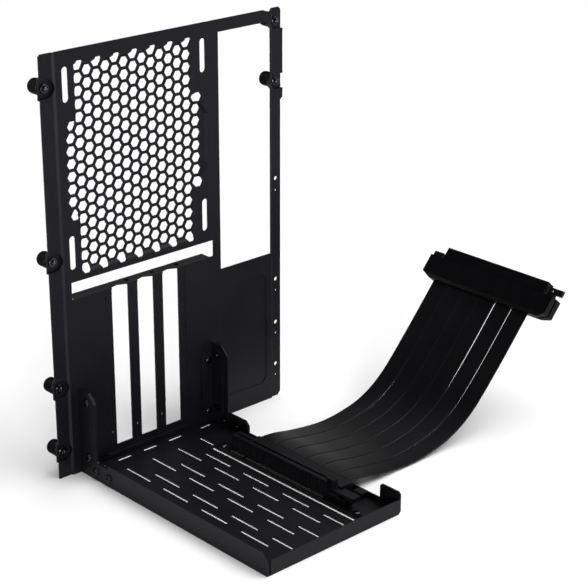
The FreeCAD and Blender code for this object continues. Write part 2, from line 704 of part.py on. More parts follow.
def panel_vent(piece):
    """The honeycomb: columns of 17 and 16 cells by turns, and a short column of 8 at each side."""
    row = S["cell_pitch"]
    for column in range(-7, 8):
        count = 8 if abs(column) == 7 else 17 - abs(column) % 2
        x = S["vent_x"] + row * 0.866025 * column
        for k in range(count):
            cell = doc.addObject("Part::Prism", "cell")
            cell.Polygon = 6
            bind(cell, "Circumradius", S["cell_flat"] / 2 / 0.866025)
            bind(cell, "Height", gauge + S["vent_deep"] + 2 * PAST)
            cell.Placement = turned("Y")
            place(cell, (x, -PAST, below_top("vent_z") + row * (k - (count - 1) / 2)))
            piece.cuts.append(cell)


def rear_panel():
    piece = Piece("rear_panel")
    panel_sheet(piece)
    panel_outline(piece)
    panel_fields(piece)
    panel_openings(piece)
    panel_flange(piece)
    panel_pockets(piece)
    panel_holes(piece)
    panel_vent(piece)
    return finish(piece)


def card_tray():
    """One folded sheet: floor, left wall with its upright, front and right lips and two tabs."""
    piece = Piece("card_tray")
    x0 = S["tray_left"]
    deep = S["tray_depth"]
    block(piece, "floor", (x0, -deep, 0), (S["tray_width"], deep - S["seat_gap"], gauge))
    left_wall(piece)
    start = S["lip_start"]
    seam = gauge + S["lip_seam"]
    block(piece, "front_lip", (x0 + seam, -deep, 0), (S["tray_width"] - seam, gauge, S["lip_front"]))
    low = S["lip_right"]
    rise = S["rise_end"]
    tab = S["tab_depth"] - deep
    cut = S["tab_cut"]
    top = S["tab_height"]
    grow(piece, "right_lip", "YZ",
         [(-start, 0), (-deep, 0), (-deep, top - cut), (cut - deep, top), (tab - cut, top), (tab, top - cut),
          (tab, low), (-rise - cut, low), (-rise, S["rise_height"]), (-start, S["rise_height"])],
         tray_right - gauge, gauge)
    block(piece, "hold_tab", (tray_right - S["hold_reach"], -S["hold_start"] - S["hold_length"], low - gauge),
          (S["hold_reach"], S["hold_length"], gauge))
    corner = S["front_cut"] + PAST
    grow(piece, "front_corner", "XZ", [(tray_right - corner, -PAST), (tray_right + PAST, -PAST),
                                       (tray_right + PAST, corner)], -deep - PAST, corner, cut=True)
    tray_slots(piece)
    tray_holes(piece)
    return finish(piece)


def left_wall(piece):
    """The tray's left side: an upright at the panel, a low part and the lip with its sloped front end."""
    near = -S["seat_gap"]
    deep = S["plate_depth"]
    high = S["plate_height"]
    top = S["plate_cut"]
    low = S["leg_height"]
    relief = S["lip_relief"]
    lip = S["lip_left"]
    end = S["tray_depth"]
    slope = S["lip_slope"]
    grow(piece, "left_wall", "YZ",
         [(near, 0), (-end, 0), (-end, lip - slope), (slope - end, lip), (-relief - S["lip_dent"], lip),
          (-relief, low), (-deep - gauge, low), (-deep, low + gauge), (-deep, high - top), (top - deep, high),
          (near, high)], S["tray_left"], gauge)
    for y, z in SIDE_SCREWS[:2]:
        rod(piece, "wall_hole", (S["tray_left"] - PAST, -y, z), "X", hole_r, gauge + 2 * PAST, cut=True)


def floor_slot(piece, name, x, start, width, length):
    """A slot through the tray floor, x at its left side, start measured from the panel."""
    block(piece, name, (x, -start - length, -PAST), (width, length, gauge + 2 * PAST), cut=True)


def tray_slots(piece):
    wide = S["vent_slot_width"]
    line = S["tongue_y"] - S["tongue_width"] / 2
    for column in range(3):
        across = S["column_pitch"] * column
        for row in range(4):
            along = S["row_pitch"] * row
            for name in ("first", "second"):
                floor_slot(piece, name + "_slot", S[name + "_x"] + across - wide / 2,
                           S[name + "_y"] + along, wide, S["vent_slot_length"])
        floor_slot(piece, "tongue_slot", S["tongue_x"] + across, line, S["tongue_length"], S["tongue_width"])
    floor_slot(piece, "long_slot", S["long_x"] - S["long_width"] / 2, S["long_start"], S["long_width"],
               S["long_end"] - S["long_start"])
    floor_slot(piece, "short_slot", S["short_x"] - wide / 2, S["short_start"], wide, S["short_length"])
    floor_slot(piece, "side_slit", S["side_slit_x"], line, S["side_slit_length"], S["tongue_width"])
    floor_slot(piece, "far_slit", S["far_slit_x"], line, S["far_slit_length"], S["tongue_width"])


def tray_holes(piece):
    for name in ("near", "far"):
        spot = (S["board_screw_x"], -S["board_screw_" + name], -PAST)
        rod(piece, "board_hole", spot, "Z", hole_r, gauge + 2 * PAST, cut=True)
        spot = (S["tray_left"] - PAST, -S["lip_screw_" + name], S["lip_screw_z"])
        rod(piece, "lip_hole", spot, "X", hole_r, S["tray_width"] + 2 * PAST, cut=True)


# Screws of a side plate: two into the corner angle, two through the tray's side
SIDE_SCREWS = [(S["side_screw_y"], S["side_screw_high"]), (S["side_screw_y"], S["side_screw_low"]),
               (S["lip_screw_near"], S["lip_screw_z"]), (S["lip_screw_far"], S["lip_screw_z"])]


def bracket_plate(side):
    """A flat L-shaped plate: inside the tray's left wall, or outside its right lip."""
    piece = Piece("bracket_plate_" + side)
    left = side == "left"
    start = S["tray_left"] + gauge if left else tray_right
    base = gauge if left else size(0)
    end = S["leg_end"]
    low = S["leg_height"]
    cut = S["leg_cut"]
    deep = S["plate_depth"]
    high = S["plate_height"]
    top = S["plate_cut"]
    grow(piece, "plate", "YZ",
         [(0, base), (-end, base), (-end, low - cut), (cut - end, low), (-deep - gauge, low),
          (-deep, low + gauge), (-deep, high - top), (top - deep, high), (0, high)], start, gauge)
    for y, z in SIDE_SCREWS:
        rod(piece, "plate_hole", (start - PAST, -y, z), "X", hole_r, gauge + 2 * PAST, cut=True)
    return finish(piece)


def corner_angle(side):
    """An angle strip standing on the tray floor: one flange on the panel, one on the side plate."""
    piece = Piece("corner_angle_" + side)
    deep = S["angle_depth"]
    high = S["angle_height"]
    cut = S["angle_cut"]
    left = side == "left"
    edge = left_inside if left else tray_right
    start = edge if left else edge - gauge
    grow(piece, "side_flange", "YZ",
         [(0, gauge), (-deep, gauge), (-deep, high - cut), (cut - deep, high), (0, high)], start, gauge)
    inner = edge + S["angle_width"] if left else edge - S["angle_width"]
    corner = inner - cut if left else inner + cut
    grow(piece, "panel_flange", "XZ",
         [(edge, gauge), (inner, gauge), (inner, high - cut), (corner, high), (edge, high)], -gauge, gauge)
    for y, z in SIDE_SCREWS[:2]:
        rod(piece, "side_hole", (start - PAST, -y, z), "X", hole_r, gauge + 2 * PAST, cut=True)
    x = PANEL_SCREW_X[0 if left else 1]
    for level in ("high", "low"):
        spot = (x, -gauge - PAST, S["panel_screw_" + level])
        rod(piece, "panel_hole", spot, "Y", hole_r, gauge + 2 * PAST, cut=True)
    return finish(piece)


def screw(seat, axis, length):
    """A cross-head screw; the head's underside is at seat and the shank runs along the axis."""
    piece = Piece("screw")
    high = S["head_height"]
    rod(piece, "head", (0, 0, -high), "Z", S["head_r"], high)
    rod(piece, "shank", (0, 0, 0), "Z", S["screw_r"], length)
    long = S["drive_length"]
    thin = S["drive_width"]
    for a, b in ((long, thin), (thin, long)):
        block(piece, "drive", (-a / 2, -b / 2, -high - PAST), (a, b, S["drive_depth"] + PAST), cut=True)
    cut = doc.addObject("Part::Cut", "screw")
    cut.Base = join("screw_blank", piece.solids)
    cut.Tool = group("screw_tools", piece.cuts)
    cut.Placement = turned(axis)
    place(cut, seat)
    return cut


def screws(label, made):
    thing = group(label, made)
    thing.Label = label
    move(thing, 0, 0, 0)
    return thing


def panel_screws():
    made = []
    for x in PANEL_SCREW_X:
        for level in ("high", "low"):
            made.append(screw((x, -gauge, S["panel_screw_" + level]), "Y", S["screw_length"]))
    return screws("panel_screws", made)


def bracket_screws(side):
    left = side == "left"
    seat = S["tray_left"] if left else tray_right + gauge
    axis = "X" if left else "-X"
    made = [screw((seat, -y, z), axis, S["side_screw_length"]) for y, z in SIDE_SCREWS]
    return screws("bracket_screws_" + side, made)


def riser_screws():
    made = []
    for name in ("near", "far"):
        seat = (S["board_screw_x"], -S["board_screw_" + name], board_top)
        made.append(screw(seat, "-Z", S["board_screw_length"]))
    return screws("riser_screws", made)


def thumbscrew(label, x, z):
    """A captive thumbscrew: knob behind the pocket, collar and tip inside it. Origin on the pocket's back."""
    piece = Piece(label)
    rim = S["knob_rim"]
    barrel = S["knob_length"] - rim
    rod(piece, "knob", (0, S["knob_gap"], 0), "Y", S["knob_r"], barrel)
    crown = doc.addObject("Part::Cone", "crown")
    bind(crown, "Radius1", S["knob_r"])
    bind(crown, "Radius2", S["knob_r"] - rim)
    bind(crown, "Height", rim)
    crown.Placement = turned("Y")
    place(crown, (0, S["knob_gap"] + barrel, 0))
    piece.solids.append(crown)
    front = gauge + S["knob_gap"]
    rod(piece, "shank", (0, S["knob_gap"], 0), "-Y", S["thumb_shank_r"],
        S["knob_gap"] + front + S["collar_length"] + S["tip_length"])
    rod(piece, "collar", (0, -front, 0), "-Y", S["collar_r"], S["collar_length"])
    return finish(piece, x, S["step_depth"] + S["pocket_depth"] + gauge, z)


def riser_board():
    piece = Piece("riser_board")
    x0 = S["board_left"]
    neck = S["board_neck"]
    right = S["cover_right"]
    near = S["board_near"]
    far = S["board_far"]
    start = S["cover_start"]
    end = S["cover_end"]
    thin = S["board_tongue"]
    cut = S["tongue_cut"]
    begin = S["tongue_start"]
    grow(piece, "board", "XY", [(x0, -far), (thin - cut, -far), (thin, cut - far), (thin, -begin),
                                (neck, -begin), (neck, -end), (right, -end), (right, -start), (neck, -start),
                                (neck, -near), (x0, -near)], gauge, S["board_gauge"])
    for name in ("near", "far"):
        spot = (S["board_screw_x"], -S["board_screw_" + name], 0)
        rod(piece, "screw_hole", spot, "Z", hole_r, board_top + PAST, cut=True)
    return finish(piece)


def slot_housing():
    """The long card socket: keyed card gap, ribbed side and two ears for the latch."""
    piece = Piece("slot_housing")
    x0 = S["socket_left"]
    wide = S["socket_width"]
    start = S["socket_start"]
    long = S["socket_length"]
    high = S["socket_height"]
    block(piece, "socket", (x0, -start - long, board_top), (wide, long, high))
    gap = S["mouth_width"]
    left = x0 + wide / 2 - gap / 2
    floor = board_top + high - S["mouth_depth"]
    margin = S["mouth_margin"]
    short = S["mouth_short"]
    block(piece, "mouth_short_part", (left, -start - margin - short, floor), (gap, short, high), cut=True)
    used = margin + short + S["mouth_key"]
    rest = long - used - margin
    block(piece, "mouth_long_part", (left, -start - used - rest, floor), (gap, rest, high), cut=True)
    rib_low = board_top + S["tail_height"] + S["rib_inset"]
    for k in range(14):
        along = start + margin + S["rib_pitch"] * k + S["rib_width"]
        block(piece, "rib", (x0 - S["rib_rise"], -along, rib_low),
              (S["rib_rise"], S["rib_width"], board_top + high - S["rib_inset"] - rib_low))
    for x in (x0, x0 + wide - S["ear_wall"]):
        block(piece, "latch_ear", (x, -start - long - S["ear_length"], board_top),
              (S["ear_wall"], S["ear_length"], S["ear_height"]))
    rod(piece, "pivot_bore", (x0 - PAST, -S["pivot_y"], S["pivot_z"]), "X", S["pivot_r"] + S["pivot_run"],
        wide + 2 * PAST, cut=True)
    return finish(piece)


def slot_contacts():
    """The visible row of contact tails beside the socket, with a gap at the key."""
    piece = Piece("slot_contacts")
    first = S["socket_start"] + S["mouth_margin"]
    for k in range(43):
        if k == 6:
            continue
        along = first + S["tail_pitch"] * k + S["tail_width"]
        block(piece, "tail", (S["socket_left"] - S["tail_length"], -along, board_top),
              (S["tail_length"], S["tail_width"], S["tail_height"]))
    return screws("slot_contacts", piece.solids)


def slot_latch():
    """The card latch: it turns on two stub pins between the socket's ears. Origin on the pivot."""
    piece = Piece("slot_latch")
    side = S["ear_wall"] + S["latch_gap"]
    wide = S["socket_width"]
    top = S["latch_top"]
    foot = S["latch_foot"]
    inner = S["latch_inner"]
    reach = S["latch_reach"]
    high = S["finger_high"]
    back = S["paddle_back"]
    dip = S["latch_dip"]
    nose = S["nose_length"]
    grow(piece, "lever", "YZ",
         [(inner, -foot), (-foot / 4, -foot), (-foot, 0), (-foot, high), (back, high), (back, dip),
          (inner - nose, dip), (inner - nose, top), (inner, top)], side, wide - 2 * side)
    inset = S["paddle_inset"]
    across = wide - 2 * inset
    low = S["paddle_low"]
    block(piece, "paddle", (inset, -reach, low), (across, reach + back, high - low))
    ears = S["socket_start"] + S["socket_length"] + S["ear_length"] - S["pivot_y"]
    front = ears + 2 * S["latch_gap"]
    low = S["finger_low"]
    block(piece, "paddle_front", (inset, -reach, low), (across, reach - front, high - low))
    rod(piece, "pivot", (S["latch_gap"], 0, 0), "X", S["pivot_r"], wide - 2 * S["latch_gap"])
    low = board_top + S["socket_height"] + S["nose_gap"] - S["pivot_z"]
    block(piece, "nose_post", (side, inner - nose, top - gauge),
          (wide - 2 * side, nose, low + S["nose_height"] - top + gauge))
    block(piece, "nose", (side, inner - nose, low), (wide - 2 * side, 2 * nose, S["nose_height"]))
    return finish(piece, S["socket_left"], -S["pivot_y"], S["pivot_z"])


def ribbon_cover():
    piece = Piece("ribbon_cover")
    x0 = S["socket_left"] + S["socket_width"] + S["cover_gap"]
    block(piece, "cover", (x0, -S["cover_end"], board_top),
          (S["cover_right"] - x0, S["cover_end"] - S["cover_start"], S["cover_height"] - board_top))
    return finish(piece)


def cosine(angle):
    return Size(math.cos(math.radians(angle.number)), "cos(%s * 1deg)" % angle.text)


def sine(angle):
    return Size(math.sin(math.radians(angle.number)), "sin(%s * 1deg)" % angle.text)


plug_x = S["turn_five_x"] + S["last_run"] * cosine(S["plug_angle"])
plug_z = S["turn_five_z"] + S["last_run"] * sine(S["plug_angle"])
RIBBON_TURNS = [(S["cover_right"], S["ribbon_z"]), (S["turn_one_x"], S["ribbon_z"]),
                (S["turn_two_x"], S["turn_two_z"]), (S["turn_three_x"], S["turn_three_z"]),
                (S["turn_four_x"], S["turn_four_z"]), (S["turn_five_x"], S["turn_five_z"]), (plug_x, plug_z)]


def ribbon_side(offset):
    """One side of the ribbon's section: straight runs joined by tangent arcs, moved sideways by offset."""
    points = [FreeCAD.Vector(x.number, 0, z.number) for x, z in RIBBON_TURNS]
    runs = [b - a for a, b in zip(points, points[1:])]
    ways = [FreeCAD.Vector(r.x, 0, r.z).normalize() for r in runs]
    sides = [FreeCAD.Vector(-w.z, 0, w.x) for w in ways]
    edges = []
    radii = []
    here = points[0] + sides[0] * offset
    for k in range(1, len(points) - 1):
        turn = math.atan2(ways[k - 1].x * ways[k].z - ways[k - 1].z * ways[k].x, ways[k - 1].dot(ways[k]))
        back = 0.45 * min(runs[k - 1].Length, runs[k].Length)
        radius = back / math.tan(abs(turn) / 2)
        radii.append(radius)
        hand = 1 if turn > 0 else -1
        start = points[k] - ways[k - 1] * back
        centre = start + sides[k - 1] * (radius * hand)
        out = (points[k] - centre).normalize()
        middle = centre + out * (radius - hand * offset)
        start = start + sides[k - 1] * offset
        end = points[k] + ways[k] * back + sides[k] * offset
        edges.append(Part.LineSegment(here, start).toShape())
        edges.append(Part.Arc(start, middle, end).toShape())
        here = end
    last = points[-1] + sides[-1] * offset
    edges.append(Part.LineSegment(here, last).toShape())
    return edges, points[0] + sides[0] * offset, last, radii


def ribbon_strips():
    """Six parallel strips: the same section, each drawn out over its own width."""
    half = S["ribbon_gauge"].number / 2
    upper, upper_start, upper_end, radii = ribbon_side(half)
    lower, lower_start, lower_end, radii = ribbon_side(-half)
    ends = [Part.LineSegment(upper_end, lower_end).toShape()]
    ends.append(Part.LineSegment(lower_start, upper_start).toShape())
    face = Part.Face(Part.Wire(Part.__sortEdges__(upper + lower + ends)))
    width = (S["ribbon_width"].number - 5 * S["ribbon_gap"].number) / 6
    length = sum(edge.Length for edge in upper + lower) / 2
    made = []
    for k in range(6):
        thing = doc.addObject("Part::Feature", "ribbon_strip_%d" % (k + 1))
        thing.Label = thing.Name
        thing.Shape = face.extrude(FreeCAD.Vector(0, -width, 0))
        move(thing, 0, -S["ribbon_start"] - (S["ribbon_width"] + S["ribbon_gap"]) / 6 * k, 0)
        made.append(thing)
    ratio = made[0].Shape.Volume / (length * width * 2 * half)
    print("ribbon length", length, "radii", [round(r, 1) for r in radii], "volume to section", ratio)
    return made


# The plug's pieces have their own frame: X runs on from the ribbon's end, Y is the working frame's Y
PLUG_TURN = FreeCAD.Rotation(FreeCAD.Vector(0, 1, 0), -S["plug_angle"].number)


def plug_board():
    """The edge board: side tab, contact edge and retaining hook."""
    piece = Piece("plug_board")
    top = S["plug_body"]
    tab = top + S["plug_tab_rise"]
    start = -S["plug_start"]
    edge = start - S["plug_tab_width"]
    rise = top + S["finger_rise"]
    arm = top + S["hook_rise"]
    under = top + S["hook_under"]
    near = [(0, start), (tab, start), (tab, edge), (top, edge)]
    fingers = [(top, -S["finger_start"]), (rise, -S["finger_start"]), (rise, -S["finger_end"]),
               (top, -S["finger_end"])]
    hook = [(top, -S["hook_start"]), (arm, -S["hook_start"]), (arm, -S["hook_end"]), (under, -S["hook_end"]),
            (under, -S["hook_arm"]), (0, -S["plug_end"])]
    grow(piece, "board", "XY", near + fingers + hook, -S["plug_gauge"] / 2, S["plug_gauge"])
    spot = (top + S["hook_hole_x"], -S["hook_hole_y"], -PAST)
    rod(piece, "hook_hole", spot, "Z", S["hook_hole_r"], 2 * PAST, cut=True)
    return finish(piece, plug_x, 0, plug_z, PLUG_TURN)


def plug_shell(name, hand):
    """One half of the plug's housing, lying on the front or back of the edge board."""
    piece = Piece("plug_shell_" + name)
    back = -S["shell_back"]
    end = back + S["shell_length"]
    near = S["plug_gauge"] / 2 * hand
    far = near + S["shell_depth"] * hand
    cut = S["shell_cut"]
    section = [(back, near), (end, near), (end, far), (back + cut, far), (back, far - cut * hand)]
    grow(piece, "shell", "XZ", section, -S["shell_end"], S["shell_end"] - S["shell_start"])
    corner = S["shell_corner"]
    low = near if hand > 0 else far
    for y, way in ((-S["shell_start"], 1), (-S["shell_end"], -1)):
        grow(piece, "corner", "XY",
             [(back - PAST, y + PAST * way), (back + corner / 2, y + PAST * way), (back + corner / 2, y),
              (back, y - corner * way), (back - PAST, y - corner * way)],
             low - PAST, S["shell_depth"] + 2 * PAST, cut=True)
    return finish(piece, plug_x, 0, plug_z, PLUG_TURN)


def finger_cap():
    """The protective cap over the contact edge."""
    piece = Piece("finger_cap")
    gap = S["cap_gap"]
    x0 = S["plug_body"] + gap
    x1 = S["plug_body"] + S["finger_rise"] + gap
    start = S["finger_start"] - gap
    end = S["finger_end"] + gap
    half = S["plug_gauge"] / 2 + gap
    side = S["cap_side"]
    wall = S["cap_wall"]
    block(piece, "cap", (x0, -end - side, -half - wall),
          (x1 + S["cap_top"] - x0, end - start + 2 * side, 2 * half + 2 * wall))
    block(piece, "hollow", (x0 - PAST, -end, -half), (x1 - x0 + PAST, end - start, 2 * half), cut=True)
    return finish(piece, plug_x, 0, plug_z, PLUG_TURN)


parts = [rear_panel(), card_tray()]
for side in ("left", "right"):
    parts += [bracket_plate(side), corner_angle(side), bracket_screws(side)]
parts.append(panel_screws())
for k, (name, value) in enumerate(THUMB_LEFT_Z, start=1):
    parts.append(thumbscrew("thumbscrew_left_%d" % k, S["thumb_left_x"], height_of(name)))
for k, (name, value) in enumerate(THUMB_RIGHT_Z, start=1):
    parts.append(thumbscrew("thumbscrew_right_%d" % k, from_right("thumb_right_x"), height_of(name)))
parts += [riser_board(), riser_screws(), slot_housing(), slot_contacts(), slot_latch(), ribbon_cover()]
parts += ribbon_strips()
parts += [plug_board(), plug_shell("front", 1), plug_shell("rear", -1), finger_cap()]

doc.recompute()
for thing in doc.Objects:
    if "Invalid" in thing.State or "Error" in thing.State:
        raise RuntimeError("%s: %s" % (thing.Name, thing.State))
os.makedirs("parts", exist_ok=True)
for part in parts:
    shape = part.Shape
    if shape.isNull() or not shape.isValid() or not shape.Solids:
        raise RuntimeError("bad shape: " + part.Label)
    shape.exportStep("parts/%s.step" % part.Label)
    box = shape.BoundBox
    print("%-22s solids %2d volume %8.1f" % (part.Label, len(shape.Solids), shape.Volume),
          [round(v, 2) for v in (box.XMin, box.XMax, box.YMin, box.YMax, box.ZMin, box.ZMax)])
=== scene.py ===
# %% [markdown]
# # A vertical graphics card mount
# The real object is a folded and punched steel panel with a steel tray bolted to it. A circuit board with a
# long card socket lies on the tray, and six flat ribbon strips run from it to a plug. The construction comes
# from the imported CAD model, so this lesson only adds what the eye sees: camera, light, finishes, the ribbon,
# screw heads and knurled knobs.

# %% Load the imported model
import json
import math

import bpy
import numpy as np
from mathutils import Matrix, Vector


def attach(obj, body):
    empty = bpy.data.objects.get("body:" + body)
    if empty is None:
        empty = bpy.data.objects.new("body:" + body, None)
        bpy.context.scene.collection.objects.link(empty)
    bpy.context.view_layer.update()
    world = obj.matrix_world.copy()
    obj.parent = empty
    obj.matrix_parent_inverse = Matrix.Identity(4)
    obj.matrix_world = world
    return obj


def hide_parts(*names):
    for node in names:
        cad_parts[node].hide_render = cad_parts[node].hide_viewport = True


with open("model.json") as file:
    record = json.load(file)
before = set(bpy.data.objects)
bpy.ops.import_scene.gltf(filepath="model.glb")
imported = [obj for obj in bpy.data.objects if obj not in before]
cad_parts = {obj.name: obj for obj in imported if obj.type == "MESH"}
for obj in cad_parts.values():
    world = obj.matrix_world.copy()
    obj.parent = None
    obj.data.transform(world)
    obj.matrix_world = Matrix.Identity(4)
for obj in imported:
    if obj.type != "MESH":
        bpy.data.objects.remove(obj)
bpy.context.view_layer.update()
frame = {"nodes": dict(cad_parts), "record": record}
MM = 0.001
# Middle of the base in the maker's drawing, which counts X from the panel's left edge and Y from its inner face
BASE_X, BASE_Y = 95.1, -80.5

# %% [markdown]
# ## Camera
# The place of the camera was solved from straight edges of known length: the fan slots are 105 mm apart and
# the card slots 20.32 mm. It stands to the left of the tray and looks down at about 22 degrees.

# %% Camera
AZIMUTH, ELEVATION, ROLL = math.radians(-43.056), math.radians(21.753), math.radians(0.174)
# Place in the drawing, mm
CAMERA_X, CAMERA_Y, CAMERA_Z = -568.08, -822.95, 521.53
SENSOR_WIDTH, LENS = 36.0, 107.75
NEAREST, FARTHEST = 0.05, 50.0
CAMERA_AT = Vector((CAMERA_X - BASE_X, CAMERA_Y - BASE_Y, CAMERA_Z)) * MM
camera_data = bpy.data.cameras.new("studio_camera")
camera_data.sensor_width = SENSOR_WIDTH
camera_data.lens = LENS
camera_data.clip_start = NEAREST
camera_data.clip_end = FARTHEST
camera = bpy.data.objects.new("studio_camera", camera_data)
bpy.context.scene.collection.objects.link(camera)
turn = Matrix.Rotation(AZIMUTH, 4, "Z") @ Matrix.Rotation(math.pi / 2 - ELEVATION, 4, "X")
camera.matrix_world = Matrix.Translation(CAMERA_AT) @ turn @ Matrix.Rotation(ROLL, 4, "Z")
bpy.context.scene.camera = camera
print("camera at", [round(v, 3) for v in CAMERA_AT])

# %% [markdown]
# ## Finishes
# Nearly everything here is black, so the finishes differ by how they shine. Each one is a Principled shader
# whose roughness and bump come from a noise of a real size. One helper adds a node, sets it and links it.

# %% Helpers for finishes
# The faint violet of the black finishes in their sheen
COOL = (0.9, 0.87, 1.0, 1.0)
# Stretch of the wide noise in which the dark shade gives way to the light one
SHADE_FROM, SHADE_TO = 0.3, 0.7
BLOTCH_DETAIL, GRAIN_DETAIL, BUMP_STRENGTH, EDGE_SAMPLES = 3.0, 2.0, 0.5, 4


def srgb(code):
    """Turns an sRGB hex colour into linear red, green, blue and an alpha of one."""
    parts = [int(code[k:k + 2], 16) / 255 for k in (1, 3, 5)]
    linear = [v / 12.92 if v <= 0.04045 else ((v + 0.055) / 1.055) ** 2.4 for v in parts]
    return (*linear, 1.0)


def add(tree, kind, settings=None, **inputs):
    """Adds a node, sets its attributes, and sets or links its inputs by name, or as n0, n1 by place."""
    node = tree.nodes.new(kind)
    for key, value in (settings or {}).items():
        setattr(node, key, value)
    for key, value in inputs.items():
        by_place = key[0] == "n" and key[1:].isdigit()
        socket = node.inputs[int(key[1:]) if by_place else key.replace("_", " ")]
        if isinstance(value, bpy.types.NodeSocket):
            tree.links.new(value, socket)
        else:
            socket.default_value = value
    return node


def per_metre(size_mm):
    """The scale of a noise whose spots are about this many millimetres across."""
    return 1.0 / (size_mm * MM)


def finish_of(name, dark, light, rough, grain_mm, bump_mm, blotch_mm=18.0, specular=0.3, metallic=0.0,
              edge_mm=0.0):
    """A finish: two shades mixed by a wide noise, roughness from the same noise, bump from a fine one."""
    material = bpy.data.materials.new(name)
    material.use_nodes = True
    tree = material.node_tree
    tree.nodes.clear()
    place = add(tree, "ShaderNodeTexCoord").outputs["Object"]
    blotch = add(tree, "ShaderNodeTexNoise", Vector=place, Scale=per_metre(blotch_mm), Detail=BLOTCH_DETAIL)
    grain = add(tree, "ShaderNodeTexNoise", Vector=place, Scale=per_metre(grain_mm), Detail=GRAIN_DETAIL)
    shade = add(tree, "ShaderNodeValToRGB", Fac=blotch.outputs["Fac"])
    for stop, position, code in zip(shade.color_ramp.elements, (SHADE_FROM, SHADE_TO), (dark, light)):
        stop.position = position
        stop.color = srgb(code)
    gloss = add(tree, "ShaderNodeMapRange", Value=blotch.outputs["Fac"], To_Min=rough[0], To_Max=rough[1])
    bump = add(tree, "ShaderNodeBump", Height=grain.outputs["Fac"], Strength=BUMP_STRENGTH,
               Distance=bump_mm * MM)
    if edge_mm:
        edge = add(tree, "ShaderNodeBevel", {"samples": EDGE_SAMPLES}, Radius=edge_mm * MM)
        tree.links.new(edge.outputs["Normal"], bump.inputs["Normal"])
    shader = add(tree, "ShaderNodeBsdfPrincipled", Base_Color=shade.outputs["Color"],
                 Roughness=gloss.outputs["Result"], Normal=bump.outputs["Normal"], Metallic=metallic,
                 Specular_IOR_Level=specular, Specular_Tint=COOL)
    add(tree, "ShaderNodeOutputMaterial", Surface=shader.outputs["BSDF"])
    return material


# %% [markdown]
# A comment over each finish says what the real surface is and what that gives the eye. The bevel node rounds
# cut and moulded edges by a few tenths of a millimetre, so they catch the light as real edges do. Grains finer
# than about a third of a millimetre wouldn't show from here, so they are drawn that coarse.

# %% Finishes
# Baked plastic skin on sheet steel: fine orange peel, satin, nearly black
powder_coat = finish_of("powder_coated_steel", "#09080b", "#0d0c10", (0.4, 0.48), grain_mm=0.35, bump_mm=0.02,
                        specular=0.16, edge_mm=0.3)
# Zinc plate under a black film: dark metal with small bright glints
black_zinc = finish_of("black_zinc_plate", "#2c2c31", "#3a3a40", (0.2, 0.28), grain_mm=0.5, bump_mm=0.006,
                       blotch_mm=6.0, metallic=1.0)
# Painted glint: a lighter grey metal in the cross of each thumbscrew tip stands in for the highlight there
painted_glint_zinc = finish_of("painted_glint_zinc_cross", "#77777d", "#98989e", (0.2, 0.3), grain_mm=0.4, bump_mm=0.006,
                        blotch_mm=3.0, metallic=1.0)
# Dyed oxide on turned aluminium: a black so deep that only its highlights show the ribs
anodised = finish_of("black_anodised_knob", "#040405", "#070709", (0.32, 0.4), grain_mm=0.3, bump_mm=0.01,
                     blotch_mm=5.0, specular=0.12)
# Nylon moulded against a textured tool: matt, with soft edges
nylon = finish_of("moulded_black_nylon", "#060507", "#0a090c", (0.42, 0.52), grain_mm=0.4, bump_mm=0.015,
                  blotch_mm=9.0, specular=0.15, edge_mm=0.2)
# Lacquer coated over a circuit board: the glossiest of the blacks, a little green
solder_mask = finish_of("black_solder_mask", "#060705", "#0a0b08", (0.25, 0.33), grain_mm=0.8, bump_mm=0.01,
                        blotch_mm=12.0, specular=0.2)
# Copper dipped in tin: a pale grey row of dots along the socket
tin = finish_of("tinned_copper_tails", "#b4b3ae", "#dcdbd6", (0.36, 0.46), grain_mm=0.3, bump_mm=0.01,
                blotch_mm=2.0, metallic=1.0)
# Rolled film round flat conductors: smooth, so it takes a long soft sheen in the sag
film = finish_of("black_ribbon_film", "#040304", "#080708", (0.33, 0.41), grain_mm=0.6, bump_mm=0.012,
                 blotch_mm=25.0, specular=0.2)
# Moulded shell of the plug: the deepest matt black
shell_plastic = finish_of("moulded_black_plug_shell", "#030304", "#050506", (0.4, 0.5), grain_mm=0.5,
                          bump_mm=0.015, blotch_mm=10.0, specular=0.08, edge_mm=0.3)

NODE_FINISH = {"steel": powder_coat, "screw": black_zinc, "knob": anodised, "board": solder_mask,
               "socket": nylon, "contact": tin, "ribbon": film, "shell": shell_plastic}
for entry in frame["record"]["subparts"]:
    mesh = frame["nodes"][entry["node"]].data
    mesh.materials.clear()
    mesh.materials.append(NODE_FINISH[entry["material_slot"]])
print("finishes", len(bpy.data.materials))

# %% [markdown]
# ## Ribbon
# Six film strips lie side by side. They leave the board flat, sag to the bench and rise to the plug. A smooth
# spline follows the drawing's turning points, and each strip is a thin rounded section carried along that line.

# %% The ribbon's line
PLUG_ANGLE = math.radians(49.0)
LAST_RUN = 47.5
# Where the ribbon has turned up to the plug's angle, as X and Z in the drawing
RISE_X, RISE_Z = 257.3, 41.5
TURNS = [(122.6, 7.6), (132.5, 7.6), (150.9, 3.25), (185.1, -0.29), (225.0, 8.5), (RISE_X, RISE_Z)]
TURNS.append((RISE_X + LAST_RUN * math.cos(PLUG_ANGLE), RISE_Z + LAST_RUN * math.sin(PLUG_ANGLE)))
POINTS_PER_TURN, QUADRATIC = 16, 3


